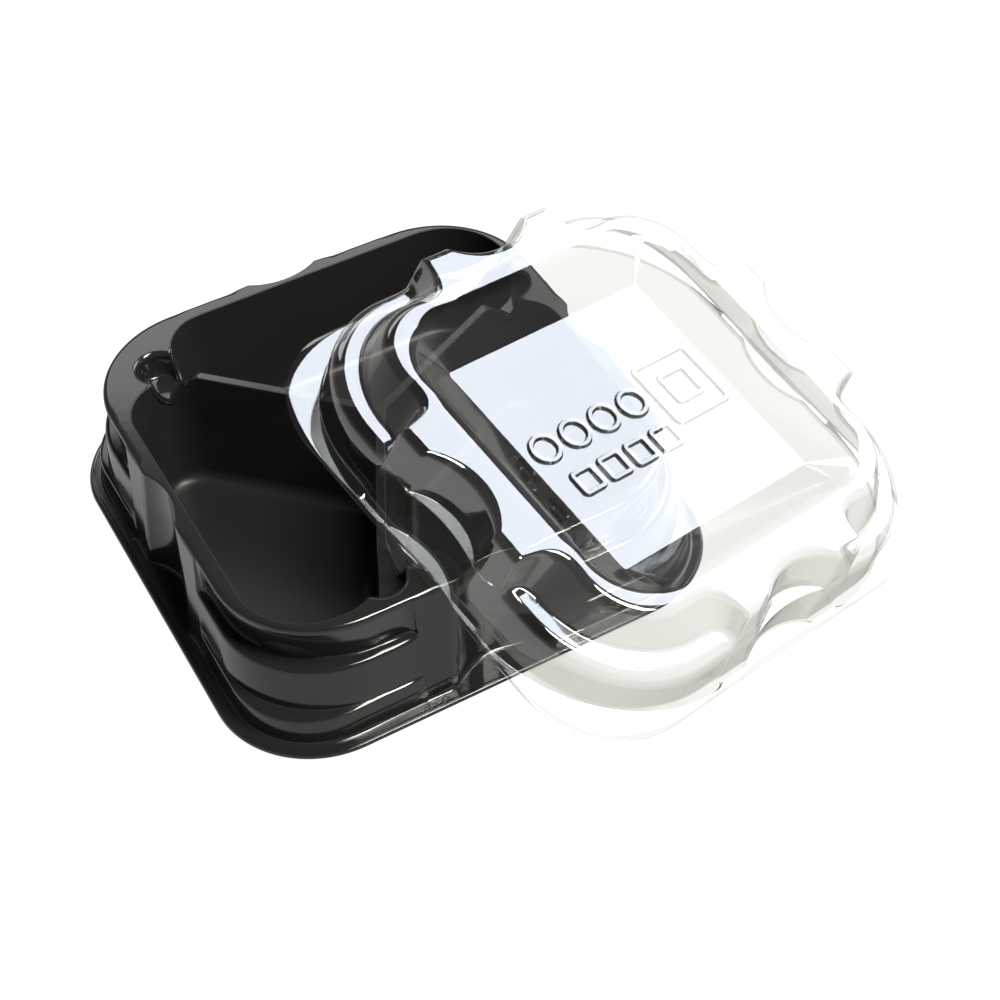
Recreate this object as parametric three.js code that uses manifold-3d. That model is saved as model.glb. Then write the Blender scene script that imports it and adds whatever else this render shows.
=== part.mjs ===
// A small square token tray of formed sheet with its clear lid, in millimetres, +Z up.
// The tray stands on the table. The lid is off the tray: it leans on the tray's front edge and on the
// table, over the tray's front right corner. The origin is on the table, under the middle of the pair.
import * as THREE from "three";
import Module from "manifold-3d";

const wasm = await Module();
wasm.setup();

// Sizes shared by both parts
const FLANGE_HALF = 50;
const LID_FLANGE_HALF = 49.2;
const BUMP_END = 15.6; // the straight face beside each finger scallop ends this far from the side's middle
const BEND_END = 21.5; // and the wall has bent back to its corner line here

// Tray
const TRAY_SHEET = 0.9;
const TRAY_FLANGE_THICK = 1.0;
const TRAY_FLANGE_CORNER = 20;
const TRAY_HEIGHT = 27.1;
const TRAY_FOOT_HALF = 46.9;
const TRAY_RIM_HALF = 44.6;
const TRAY_CORNER = 20.4;
const TRAY_STEP_HEIGHT = 7.3;
const TRAY_STEP_HALF = 46.75;
const TRAY_STEP_CORNER = 16;
const TRAY_LEDGE_HEIGHT = 17.3;
const TRAY_LEDGE_FOOT_HALF = 43.2;
const TRAY_LEDGE_FOOT_CORNER = 21;
const TRAY_SCALLOP_AXIS = 56.4;
const TRAY_SCALLOP_RADIUS = 13.8;

// Wells of the tray: three of them, parted by a divider with three arms
const WELL_HALF = 41.7;
const WELL_FLOOR = 1.3;
const WELL_DRAFT = 0.06;
const WELL_FLOOR_BEVEL = 2.2;
const WELL_CORNER = 14;
const WELL_ARM_CORNER = 9.2;
const WELL_JUNCTION_CORNER = 3;
const DIVIDER_HALF = 0.9;
const ARM_ANGLES = [135, 244, 26];
const NOTCH_ENDS = [49.2, 46.2, 46.2];
const NOTCH_START = 36;
const NOTCH_HALF_WIDTH = 4.3;
const NOTCH_DEPTH = 5;

// Lid
const LID_SHEET = 0.7;
const LID_FLANGE_THICK = 0.7;
const LID_FLANGE_CORNER = 19.4;
const LID_HEIGHT = 19.1;
const LID_FOOT_HALF = 46.9;
const LID_TOP_HALF = 45.1;
const LID_SHELF_HEIGHT = 9.6;
const LID_LEDGE_HEIGHT = 10.9;
const LID_LEDGE_FOOT_HALF = 41.4;
const LID_LEDGE_FOOT_CORNER = 19.8;
const LID_TOP_CORNER_HALF = 37;
const LID_TOP_CORNER = 11.5;
const RECESS_DEPTH = 6.5;
const RECESS_HALF = 34.8;
const RECESS_CORNER = 13;
const PANEL_HALF = 24.6;
const PANEL_CORNER = 1;

// Where the lid rests, seen from the tray's middle on the table: the middle of its flange, and its turn
// as an axis times an angle in degrees
const LID_POSITION = [33.1, -28.13, 20.35];
const LID_TURN = [14.54, 12.98, 12.9];

// One quarter of a wall's outline, from the middle of the +Y side's scallop round to the middle of the
// -X side's: a scallop arc, a straight face, a bend back to the corner line, and the corner's arc.
function quarterPoints(level, inset) {
  const side = level.side.half - inset;
  const corner = level.corner.half - inset;
  const radius = Math.max(level.corner.radius - inset, 1);
  const scallop = level.scallop.radius + inset;
  const mouth = Math.sqrt(scallop ** 2 - (level.scallop.axis - side) ** 2);
  const reach = Math.asin(mouth / scallop);
  const points = [];
  for (let i = 0; i < 5; i += 1) {
    const a = (reach * i) / 5;
    const along = scallop * Math.sin(a);
    const out = level.scallop.axis - scallop * Math.cos(a);
    points.push({ along, out, blend: 0 });
  }
  points.push({ along: mouth, out: side, blend: 0 });
  const bend = new THREE.CubicBezierCurve(
    new THREE.Vector2(BUMP_END - inset, side),
    new THREE.Vector2(BUMP_END - inset + 0.8, side),
    new THREE.Vector2(BUMP_END - inset - 0.6, corner),
    new THREE.Vector2(BEND_END - inset, corner),
  );
  bend.getPoints(6).forEach((p, i) => {
    points.push({ along: p.x, out: p.y, blend: i / 6 });
  });
  const arc = new THREE.EllipseCurve(
    corner - radius, corner - radius, radius, radius, Math.PI / 2, 0, true,
  );
  arc.getPoints(10).forEach((p) => {
    if (p.x >= p.y - 1e-9) return;
    points.push({ along: p.x, out: p.y, blend: 1 });
  });
  points.push({ along: corner - radius * (1 - Math.SQRT1_2), out: null, blend: 1 });
  return points;
}

// The whole outline at one level, anticlockwise from above, as 3-D points. The sides and the corners
// can stand at different heights, which is how a ledge that only runs round a corner is made.
function outline(level, inset = 0, drop = 0) {
  const half = quarterPoints(level, inset);
  const quarter = [];
  const height = (blend) => {
    const eased = blend * blend * (3 - 2 * blend);
    return level.side.z + (level.corner.z - level.side.z) * eased - drop;
  };
  half.forEach((p) => {
    const out = p.out === null ? p.along : p.out;
    quarter.push([p.along, out, height(p.blend)]);
  });
  for (let i = half.length - 2; i > 0; i -= 1) {
    const p = half[i];
    quarter.push([p.out, p.along, height(p.blend)]);
  }
  // quarter now runs from the +Y side's middle clockwise to just before the +X side's middle
  const ring = [];
  for (let k = 0; k < 4; k += 1) {
    const turn = (-k * Math.PI) / 2;
    quarter.forEach(([x, y, z]) => {
      const v = new THREE.Vector3(x, y, z).applyAxisAngle(new THREE.Vector3(0, 0, 1), turn);
      ring.push(v);
    });
  }
  return ring.reverse();
}

// A closed body through a stack of rings with equal point counts, lowest first. Both ends are flat or
// nearly flat and are closed by triangulating their outline.
function loft(rings) {
  const count = rings[0].length;
  const positions = rings.flat().flatMap((v) => [v.x, v.y, v.z]);
  const index = [];
  for (let r = 0; r + 1 < rings.length; r += 1) {
    for (let i = 0; i < count; i += 1) {
      const j = (i + 1) % count;
      const a = r * count + i;
      const b = r * count + j;
      index.push(a, b, b + count, a, b + count, a + count);
    }
  }
  const flat = (ring) => ring.map((v) => new THREE.Vector2(v.x, v.y));
  const last = (rings.length - 1) * count;
  THREE.ShapeUtils.triangulateShape(flat(rings[0]), []).forEach(([a, b, c]) => {
    index.push(c, b, a);
  });
  THREE.ShapeUtils.triangulateShape(flat(rings[rings.length - 1]), []).forEach(([a, b, c]) => {
    index.push(last + a, last + b, last + c);
  });
  return new wasm.Manifold(
    new wasm.Mesh({
      numProp: 3,
      vertProperties: new Float32Array(positions),
      triVerts: new Uint32Array(index),
    }),
  );
}

// A plain square outline with round corners.
function roundedSquare(half, radius, z, perCorner = 8) {
  const ring = [];
  for (let k = 0; k < 4; k += 1) {
    const turn = (k * Math.PI) / 2;
    const arc = new THREE.EllipseCurve(half - radius, half - radius, radius, radius, 0, Math.PI / 2);
    arc.getPoints(perCorner).forEach((p) => {
      ring.push(new THREE.Vector3(p.x, p.y, z).applyAxisAngle(new THREE.Vector3(0, 0, 1), turn));
    });
  }
  return ring;
}

// A polygon with its corners rounded, each by its own radius, anticlockwise. Every vertex gives
// steps + 1 points, so outlines made from the same corners can be lofted together.
function roundedPolygon(corners, inset, z, steps = 6) {
  const lines = corners.map((c, i) => {
    const next = corners[(i + 1) % corners.length];
    const along = new THREE.Vector2(next.x - c.x, next.y - c.y).normalize();
    const inward = new THREE.Vector2(-along.y, along.x);
    return { point: new THREE.Vector2(c.x, c.y).addScaledVector(inward, inset), along, inward };
  });
  const ring = [];
  corners.forEach((c, i) => {
    const before = lines[(i + corners.length - 1) % corners.length];
    const after = lines[i];
    const radius = Math.max(c.radius - inset, 0.4);
    const turn = before.along.angleTo(after.along);
    const cross = before.along.x * after.along.y - before.along.y * after.along.x;
    const gap = after.point.clone().sub(before.point);
    const reach = (gap.x * after.along.y - gap.y * after.along.x) / cross;
    const vertex = before.point.clone().addScaledVector(before.along, reach);
    const setback = radius * Math.tan(turn / 2);
    const centre = vertex.clone().addScaledVector(before.along, -setback)
      .addScaledVector(before.inward, radius);
    const start = Math.atan2(-before.inward.y, -before.inward.x);
    for (let s = 0; s <= steps; s += 1) {
      const a = start + (turn * s) / steps;
      ring.push(new THREE.Vector3(centre.x + radius * Math.cos(a), centre.y + radius * Math.sin(a), z));
    }
  });
  return ring;
}

function armDirection(index) {
  const a = THREE.MathUtils.degToRad(ARM_ANGLES[index]);
  return new THREE.Vector2(Math.cos(a), Math.sin(a));
}

// Where the side of a divider arm crosses the line x = at or y = at.
function armCrossing(index, sideSign, axis, at) {
  const d = armDirection(index);
  const base = new THREE.Vector2(-d.y, d.x).multiplyScalar(sideSign * DIVIDER_HALF);
  const t = (at - base[axis]) / d[axis];
  return base.addScaledVector(d, t);
}

// Where two arms' facing sides meet beside the middle of the tray.
function junction(i, j) {
  const a = armDirection(i);
  const b = armDirection(j);
  const pa = new THREE.Vector2(-a.y, a.x).multiplyScalar(DIVIDER_HALF);
  const pb = new THREE.Vector2(b.y, -b.x).multiplyScalar(DIVIDER_HALF);
  const cross = a.x * b.y - a.y * b.x;
  const gap = pb.clone().sub(pa);
  const t = (gap.x * b.y - gap.y * b.x) / cross;
  return pa.addScaledVector(a, t);
}

function vertex(p, radius) {
  return { x: p.x, y: p.y, radius };
}

// The three wells' corner lists, anticlockwise.
function wellCorners() {
  const half = WELL_HALF;
  const left = [
    vertex(junction(0, 1), WELL_JUNCTION_CORNER),
    vertex(armCrossing(0, 1, "x", -half), WELL_ARM_CORNER),
    vertex({ x: -half, y: -half }, WELL_CORNER),
    vertex(armCrossing(1, -1, "y", -half), WELL_ARM_CORNER),
  ];
  const back = [
    vertex(junction(2, 0), WELL_JUNCTION_CORNER),
    vertex(armCrossing(2, 1, "x", half), WELL_ARM_CORNER),
    vertex({ x: half, y: half }, WELL_CORNER),
    vertex(armCrossing(0, -1, "y", half), WELL_ARM_CORNER),
  ];
  const front = [
    vertex(junction(1, 2), WELL_JUNCTION_CORNER),
    vertex(armCrossing(1, 1, "y", -half), WELL_ARM_CORNER),
    vertex({ x: half, y: -half }, WELL_CORNER),
    vertex(armCrossing(2, -1, "x", half), WELL_ARM_CORNER),
  ];
  return [left, back, front];
}

// The hollow of one well. grow widens and deepens it by the sheet, for the underside.
function wellBody(corners, grow) {
  const top = TRAY_HEIGHT + 1;
  const floor = WELL_FLOOR - grow;
  const at = (z) => WELL_DRAFT * (TRAY_HEIGHT - z) - grow;
  const bevel = WELL_FLOOR_BEVEL;
  return loft([
    roundedPolygon(corners, at(floor) + bevel, floor),
    roundedPolygon(corners, at(floor + bevel), floor + bevel),
    roundedPolygon(corners, at(top), top),
  ]);
}

// The scoop at the outer end of one divider arm, where the divider dips below the rim.
function notchBody(index, grow) {
  const d = armDirection(index);
  const turn = Math.atan2(d.y, d.x);
  const ring = (z, half, start, end) => {
    const points = [];
    for (let s = 0; s <= 8; s += 1) {
      const a = -Math.PI / 2 + (Math.PI * s) / 8;
      points.push([end - half + half * Math.cos(a), half * Math.sin(a)]);
    }
    points.push([start, half], [start, -half]);
    return points.map(([x, y]) => {
      return new THREE.Vector3(x, y, z).applyAxisAngle(new THREE.Vector3(0, 0, 1), turn);
    });
  };
  const floor = TRAY_HEIGHT - NOTCH_DEPTH - grow;
  const top = TRAY_HEIGHT + 1;
  const half = NOTCH_HALF_WIDTH + grow;
  const end = NOTCH_ENDS[index] + grow;
  return loft([
    ring(floor, half - 1.2, NOTCH_START + 3, end - 1.2),
    ring(floor + 1.5, half - 0.3, NOTCH_START + 1.5, end - 0.3),
    ring(top, half, NOTCH_START - grow, end),
  ]);
}

function trayLevels() {
  const scallop = { axis: TRAY_SCALLOP_AXIS, radius: TRAY_SCALLOP_RADIUS };
  const lean = (TRAY_FOOT_HALF - TRAY_RIM_HALF) / TRAY_HEIGHT;
  const wall = (z) => TRAY_FOOT_HALF - lean * z;
  const level = (z, cornerZ, cornerHalf, cornerRadius) => ({
    side: { z, half: wall(z) },
    corner: { z: cornerZ, half: cornerHalf, radius: cornerRadius },
    scallop,
  });
  const step = TRAY_STEP_HEIGHT;
  const ledge = TRAY_LEDGE_HEIGHT;
  return {
    foot: level(0.5, 0.5, wall(0.5), TRAY_STEP_CORNER),
    stepOuter: level(step, step, TRAY_STEP_HALF, TRAY_STEP_CORNER),
    stepInner: level(step + 1, step + 0.2, wall(step) - 0.1, TRAY_CORNER),
    ledgeOuter: level(ledge, ledge, wall(ledge), TRAY_CORNER),
    ledgeInner: level(ledge + 1.5, ledge + 0.1, TRAY_LEDGE_FOOT_HALF, TRAY_LEDGE_FOOT_CORNER),
    rim: level(TRAY_HEIGHT, TRAY_HEIGHT, TRAY_RIM_HALF, TRAY_CORNER),
  };
}

function trayBody() {
  const levels = Object.values(trayLevels());
  const outer = loft(levels.map((l) => outline(l)));
  const below = { ...levels[0], side: { ...levels[0].side, z: -1 }, corner: { ...levels[0].corner, z: -1 } };
  const sheet = TRAY_SHEET;
  const inner = loft([
    outline(below, sheet),
    ...levels.slice(1).map((l) => outline(l, sheet, sheet)),
  ]);
  const flange = loft([
    roundedSquare(FLANGE_HALF, TRAY_FLANGE_CORNER, 0),
    roundedSquare(FLANGE_HALF, TRAY_FLANGE_CORNER, TRAY_FLANGE_THICK),
  ]);
  const corners = wellCorners();
  let solid = flange.add(outer);
  let hollow = inner;
  corners.forEach((c) => {
    solid = solid.subtract(wellBody(c, 0));
    hollow = hollow.subtract(wellBody(c, sheet));
  });
  NOTCH_ENDS.forEach((end, i) => {
    solid = solid.subtract(notchBody(i, 0));
    hollow = hollow.subtract(notchBody(i, sheet));
  });
  return solid.subtract(hollow);
}

// The lid's outlines. Each scallop reaches in to its own centre line and opens to its own mouth; a
// shelf half way up makes it deeper above than below.
function lidLevels() {
  const lean = (LID_FOOT_HALF - LID_TOP_HALF) / LID_HEIGHT;
  const wall = (z) => LID_FOOT_HALF - lean * z;
  const level = (z, half, centre, mouth, cornerZ, cornerHalf, cornerRadius) => {
    const depth = half - centre;
    const radius = (depth ** 2 + mouth ** 2) / (2 * depth);
    return {
      side: { z, half },
      corner: { z: cornerZ, half: cornerHalf, radius: cornerRadius },
      scallop: { axis: centre + radius, radius },
    };
  };
  const shelf = LID_SHELF_HEIGHT;
  const ledge = LID_LEDGE_HEIGHT;
  const top = LID_HEIGHT;
  return {
    foot: level(0.3, 47.5, 44.8, 8.8, 0.3, 48.2, 26.5),
    wallFoot: level(1.3, 46.9, 44.5, 8.5, 1.4, 46.7, 25),
    shelfOuter: level(shelf - 0.1, wall(shelf), 44.7, 8.8, ledge - 2.9, 46, 23.5),
    shelfInner: level(shelf + 0.1, wall(shelf), 42, 9.2, ledge - 1, 45.4, 23),
    ledgeOuter: level(11.6, wall(11.6), 41.95, 9.3, ledge, 44.2, 22.3),
    ledgeInner: level(13.2, wall(13.2), 41.7, 9.45, ledge + 0.1, LID_LEDGE_FOOT_HALF, LID_LEDGE_FOOT_CORNER),
    top: level(top, LID_TOP_HALF, 40.8, 9.8, top, LID_TOP_CORNER_HALF, LID_TOP_CORNER),
  };
}

function recessBody(grow) {
  const floor = LID_HEIGHT - RECESS_DEPTH - grow;
  const slope = (RECESS_HALF - PANEL_HALF) / RECESS_DEPTH;
  const over = 1;
  return loft([
    roundedSquare(PANEL_HALF + grow, PANEL_CORNER, floor),
    roundedSquare(RECESS_HALF + grow, RECESS_CORNER, LID_HEIGHT - grow),
    roundedSquare(RECESS_HALF + grow + slope * over, RECESS_CORNER, LID_HEIGHT - grow + over),
  ]);
}

function lidBody() {
  const levels = Object.values(lidLevels());
  const outer = loft(levels.map((l) => outline(l)));
  const below = { ...levels[0], side: { ...levels[0].side, z: -1 }, corner: { ...levels[0].corner, z: -1 } };
  const sheet = LID_SHEET;
  const inner = loft([
    outline(below, sheet),
    ...levels.slice(1).map((l) => outline(l, sheet, sheet)),
  ]);
  const flange = loft([
    roundedSquare(LID_FLANGE_HALF, LID_FLANGE_CORNER, 0),
    roundedSquare(LID_FLANGE_HALF, LID_FLANGE_CORNER, LID_FLANGE_THICK),
  ]);
  const solid = flange.add(outer).subtract(recessBody(0));
  const hollow = inner.subtract(recessBody(sheet));
  return solid.subtract(hollow);
}

// A named mesh made from a finished solid.
function meshOf(name, solid, material) {
  const found = solid.getMesh();
  const geometry = new THREE.BufferGeometry();
  geometry.setAttribute("position", new THREE.BufferAttribute(found.vertProperties, 3));
  geometry.setIndex(new THREE.BufferAttribute(found.triVerts, 1));
  geometry.computeVertexNormals();
  const mesh = new THREE.Mesh(geometry, material);
  mesh.name = name;
  return mesh;
}

const blackSheet = new THREE.MeshStandardMaterial({ color: 0x0c0c0d, roughness: 0.25, metalness: 0 });
const clearSheet = new THREE.MeshStandardMaterial({
  color: 0xeef2f5, roughness: 0.05, metalness: 0, transparent: true, opacity: 0.25,
});

const tray = meshOf("tray", trayBody(), blackSheet);
const lid = meshOf("lid", lidBody(), clearSheet);
const turn = new THREE.Vector3(...LID_TURN).multiplyScalar(Math.PI / 180);
lid.quaternion.setFromAxisAngle(turn.clone().normalize(), turn.length());
lid.position.set(...LID_POSITION);

const set = new THREE.Group();
set.add(tray, lid);
const box = new THREE.Box3().setFromObject(set, true);
const middle = box.getCenter(new THREE.Vector3());
set.position.set(-middle.x, -middle.y, 0);

export default set;
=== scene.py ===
import math

import bmesh
import bpy
import numpy as np
from mathutils import Matrix, Vector
from mathutils.geometry import delaunay_2d_cdt


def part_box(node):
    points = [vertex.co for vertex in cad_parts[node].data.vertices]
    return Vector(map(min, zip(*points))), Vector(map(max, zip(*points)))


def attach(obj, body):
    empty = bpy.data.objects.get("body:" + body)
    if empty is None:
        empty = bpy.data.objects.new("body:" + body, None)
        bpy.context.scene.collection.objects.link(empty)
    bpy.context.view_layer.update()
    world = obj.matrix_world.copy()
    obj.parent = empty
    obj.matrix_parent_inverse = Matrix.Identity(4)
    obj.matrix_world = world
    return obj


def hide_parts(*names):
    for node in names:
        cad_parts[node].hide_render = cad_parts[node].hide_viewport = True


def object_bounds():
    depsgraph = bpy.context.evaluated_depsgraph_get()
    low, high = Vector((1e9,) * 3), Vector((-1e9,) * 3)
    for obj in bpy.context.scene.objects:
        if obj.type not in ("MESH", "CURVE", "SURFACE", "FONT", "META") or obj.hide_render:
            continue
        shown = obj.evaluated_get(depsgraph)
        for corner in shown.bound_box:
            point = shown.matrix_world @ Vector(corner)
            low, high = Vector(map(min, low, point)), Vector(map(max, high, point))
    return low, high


# A small square token tray of glossy black formed sheet, and its clear formed lid, which leans on the
# tray's front edge and on the table. All sizes below are in millimetres in the part's own upright frame.

MM = 0.001

# How finely one eighth of a wall's outline is cut
SCALLOP_STEPS = 14
FACE_STEPS = 4
BEND_STEPS = 18
STRAIGHT_STEPS = 3
CORNER_STEPS = 18
FILLET_STEPS = 6

# Along each side, where the flat face beside a scallop ends and where the bend into the corner ends,
# and how far the bend's two inner control points are pulled to make it an S
BUMP_END = 15.6
BEND_END = 21.5
BEND_PULLS = (0.8, -0.6)

# Where an outline gets tight: the shortest bend, corner radius and straight piece after the bend. The
# spread sets how points thin out along a plain side.
SHORTEST_BEND = 1.0
LEAST_RADIUS = 0.3
LEAST_STRAIGHT = 0.3
STRAIGHT_SPREAD = 0.9

# A rounded edge takes at most this share of the skin on either side of it
FILLET_SHARE = 0.45
FIRST_FILLET_SHARE = 0.97

# Points closer than this are joined. The last two keep a division and the flat cutting safe.
JOIN_DISTANCE = 0.004
TINY = 1e-9
CUT_TOLERANCE = 1e-6

# Tray. Its scallops hold their axis' distance from the middle and their radius, and their rim is sharper
# than the rest: near is where that ends along a side, and far is where the full rounding begins.
TRAY_SHEET = 0.9
TRAY_HEIGHT = 27.1
TRAY_FLANGE_HALF = 50.0
TRAY_FLANGE_CORNER = 20.0
TRAY_FOOT_HALF = 46.9
TRAY_RIM_HALF = 44.6
TRAY_CORNER = 20.4
TRAY_SCALLOP = (56.4, 13.8)
RIM_FILLET = 1.45
RIM_SCALLOP_FILLET = 0.35
RIM_FLAT_GAP = 0.05
SCALLOP_NEAR = 8.0
SCALLOP_FAR = 12.0

# The ledge round each corner. A rise is the height of its inner foot over it, at the sides and corners.
TRAY_LEDGE_HEIGHT = 17.3
TRAY_LEDGE_RISE = (1.5, 0.1)
TRAY_LEDGE_FOOT_HALF = 43.2
TRAY_LEDGE_FOOT_CORNER = 21.0
TRAY_LEDGE_FOOT_FILLET = 0.7
TRAY_LEDGE_FILLET = 1.2

# The low crescent step round each corner
TRAY_STEP_HEIGHT = 7.3
TRAY_STEP_RISE = (1.0, 0.2)
TRAY_STEP_SINK = 0.1
TRAY_STEP_HALF = 46.75
TRAY_STEP_CORNER = 16.4
TRAY_STEP_FOOT_FILLET = 0.4
TRAY_STEP_FILLET = 1.0
TRAY_FOOT_FLARE = 0.2
TRAY_FOOT_FILLET = 1.3

# The flange's low lip and its outer edge
TRAY_CREASE_HALF = 48.8
TRAY_CREASE_CORNER = 18.0
CREASE_WIDTH = 0.25
CREASE_FILLET = 0.12
FLANGE_LIP = 0.12
FLANGE_EDGE_WIDTH = 0.25
FLANGE_EDGE_DROP = 0.5
FLANGE_EDGE_FILLET = 0.3

# Wells: their outer limit, the divider between them, and how their walls run down to their floors. Each
# well has an outer corner, one at the end of each arm beside it, and one where the arms meet.
WELL_HALF = 41.9
DIVIDER_HALF = 0.4
WELL_WALL_INSET = 0.5
WELL_FILLET = 0.2
WELL_FLOOR = 1.3
WELL_DRAFT = 0.08
WELL_FLOOR_FILLET = 3.0
WELL_CORNER = 14.2
WELL_ARM_CORNER = 9.2
WELL_JUNCTION_CORNER = 3.0
WELL_EDGE_STEPS = 60
WELL_ARC_STEPS = 14
WELL_LEAST_RADIUS = 0.4
WELL_MID_SHARES = (0.2, 0.4, 0.6)
WELL_FLOOR_SHARES = (1.0, 0.6, 0.25)
WELL_RIM_GAP = 0.05
ARM_ANGLES = (135.0, 244.0, 26.0)

# The scoop at each divider arm's outer end. The starts and ends are distances from the tray's middle, and
# the insets are the lines along its edge that cut the rim finely enough for it.
NOTCH_ENDS = (49.2, 46.2, 46.2)
NOTCH_STARTS = (36.5, 33.5, 33.5)
NOTCH_RAMP = 6.0
NOTCH_HALF_WIDTH = 4.3
NOTCH_DEPTH = 5.5
NOTCH_EDGE = 0.9
NOTCH_REACH = 14.0
NOTCH_INSETS = (-0.5, 0.0, 0.25, 0.5, 0.75, 1.2, 2.0, 3.0)
NOTCH_SPACING = 0.5
NOTCH_CLEAR = 0.3
NOTCH_LEAD = 1
NOTCH_ARC_STEPS_PER_MM = 8
NOTCH_ARC_LEAST = 6

# Lid. Its scallops hold how far they reach in and half their mouth.
LID_SHEET = 0.55
LID_HEIGHT = 19.1
LID_FLANGE_HALF = 49.2
LID_FLANGE_CORNER = 19.4
LID_FOOT_HALF = 46.9
LID_TOP_HALF = 45.1
LID_TOP_CORNER_HALF = 37.0
LID_TOP_CORNER = 11.5
LID_TOP_SCALLOP = (40.8, 9.8)
LID_TOP_FILLET = 1.9

# The lid's walls from the top down. Each row holds the side's height, the scallop's innermost reach and
# half mouth, the corner's height, half size and radius, and the edge's rounding at the scallops and
# how much more it is away from them. They are the ledge's foot and edge, the shelf in the scallop from
# its inner to its outer edge, and the wall's foot.
LID_LEVELS = (
    (13.2, 41.7, 9.45, 11.0, 41.4, 20.5, 0.6, 0.0),
    (11.6, 41.95, 9.3, 10.9, 44.3, 22.3, 0.5, 0.0),
    (9.6, 42.0, 9.2, 9.9, 45.6, 23.0, 0.15, 0.6),
    (9.6, 44.7, 8.8, 8.0, 46.1, 23.5, 0.15, 0.8),
    (1.0, 44.4, 8.5, 1.3, 46.6, 26.0, 0.15, 0.45),
)
LID_FOOT_FLARE = 0.7
LID_FOOT_SCALLOP = (44.7, 8.9)
LID_FOOT_CORNER_HALF = 48.4
LID_FOOT_CORNER = 32.0
LID_FOOT_FILLET = 0.1

# The recess that slopes from the top ring down to the flat panel
RECESS_DEPTH = 6.5
RECESS_HALF = 34.3
RECESS_CORNER = 13.0
RECESS_FILLET = 2.7
PANEL_HALF = 24.6
PANEL_CORNER = 1.0
PANEL_FILLET = 0.3
PANEL_FLAT_SHARE = 0.97

# Raised plain emblem on the lid's panel: a row of rings, a row of squares and a framed square. The rows
# hold their y, their middles' x and their half size; the frame holds x, y, and its two half sizes.
# Edges bent more than the sharp angle (in radians) are not shaded smooth.
EMBLEM_HEIGHT = 0.6
EMBLEM_LINE = 0.7
EMBLEM_SLOPE = 0.32
SHARP_ANGLE = 0.6
RING_ROW = (2.6, (-19.7, -12.2, -4.7, 2.8), 2.75)
SQUARE_ROW = (-6.6, (-17.2, -10.4, -3.6, 3.2), 2.3)
SQUARE_CORNER = 0.6
FRAME_SQUARE = (14.9, 1.4, 6.9, 3.2)
FRAME_CORNERS = (1.2, 0.8)
LOOP_STEPS = 15
LOOP_LEAST_RADIUS = 0.1
LOOP_LEAST_GAP = 0.01

# Where the lid rests, from the tray's middle: its flange's middle, and its turn as axis times degrees
LID_POSITION = (33.1, -28.13, 20.35)
LID_TURN = (14.54, 12.98, 12.9)

# Clear sheet: mirror share seen square on, how fast it grows, and what a square pass lets through.
# Its steep outer walls carry more of both, their extra tint being painted shade. The wave is its
# unevenness as scale, detail, strength, depth.
CLEAR_MIRROR = 0.15
CLEAR_EDGE_POWER = 4.2
CLEAR_BODY = (0.917, 0.917, 0.903)
CLEAR_MIRROR_INSIDE = 0.09
CLEAR_BODY_INSIDE = (0.985, 0.985, 0.98)
STEEP_MIRROR = 0.08
# Steep walls are tinted darker as painted shade: the lid's shadow on the table seen through them
STEEP_PAINTED_SHADE = 4.4
SLANT_TINT = 0.3
LEAST_COSINE = 0.02
CLEAR_WAVE = (22, 3, 0.10, 0.0006)
CLEAR_ROUGHNESS = (0.03, 0.10)

# Black sheet: colour, refraction, the scale and detail of its uneven polish, and its orange-peel's
# scale, strength and depth. Each finish holds how much it mirrors and its least and most roughness.
BLACK = (0.0105, 0.0105, 0.0106, 1)
BLACK_IOR = 1.52
BLACK_POLISH = (35, 4)
BLACK_PEEL = (450, 0.03, 0.0002)
GLOSSY_FINISH = (0.5, 0.07, 0.15)
# The wells' finish mirrors less than the rest: painted shade in the recesses
WELL_SHADED_FINISH = (0.2, 0.30, 0.40)

# Light levels. The floor's glow is less in mirrors, and the room darkens up to the zenith height.
FLOOR_BASE = (0.12, 0.12, 0.12, 1)
FLOOR_SEEN = 0.97
FLOOR_MIRRORED = 0.42
FLOOR_SIZE = 4.0
FLOOR_GAP = 0.2
ROOM_HORIZON = 0.32
ROOM_ZENITH = 0.08
ROOM_ZENITH_HEIGHT = 0.6

# Each light's name, direction and distance (m) from the object, width and height (m), power and colour
SOFT_LIGHTS = (
    ("box_right_back", (0.72, 0.24, 0.65), 1.2, 0.75, 0.75, 12.8, (0.90, 0.96, 1.05)),
    ("box_back", (0.232, 0.762, 0.604), 1.5, 1.0, 0.34, 2.9, (1.0, 1.0, 1.0)),
    ("box_front_high", (0.27, -0.42, 0.86), 1.2, 0.34, 0.85, 34, (1.0, 0.97, 0.91)),
)

# The camera: focal length, sensor width, near and far limits in metres, sideways and upward shift, its
# place from the tray's middle and the direction it looks in
CAMERA_FOCAL = 74.2
CAMERA_SENSOR = 36.0
CAMERA_CLIP = (0.01, 20)
CAMERA_SHIFT = (-0.1244, -0.0016)
CAMERA_PLACE = (-100.7, -257.4, 302.7)
CAMERA_AIM = (0.345, 0.576, -0.741)

# How often a ray may pass through clear sheet, and how often it may turn in all
CLEAR_BOUNCES = 24
ALL_BOUNCES = 16


def level(z, half, corner_z, corner_half, corner_radius, scallop):
    """One height of a wall: its sides and its corners can differ in height and reach."""
    return {
        "z": z, "half": half, "corner_z": corner_z, "corner_half": corner_half,
        "radius": corner_radius, "scallop": scallop,
    }


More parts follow.
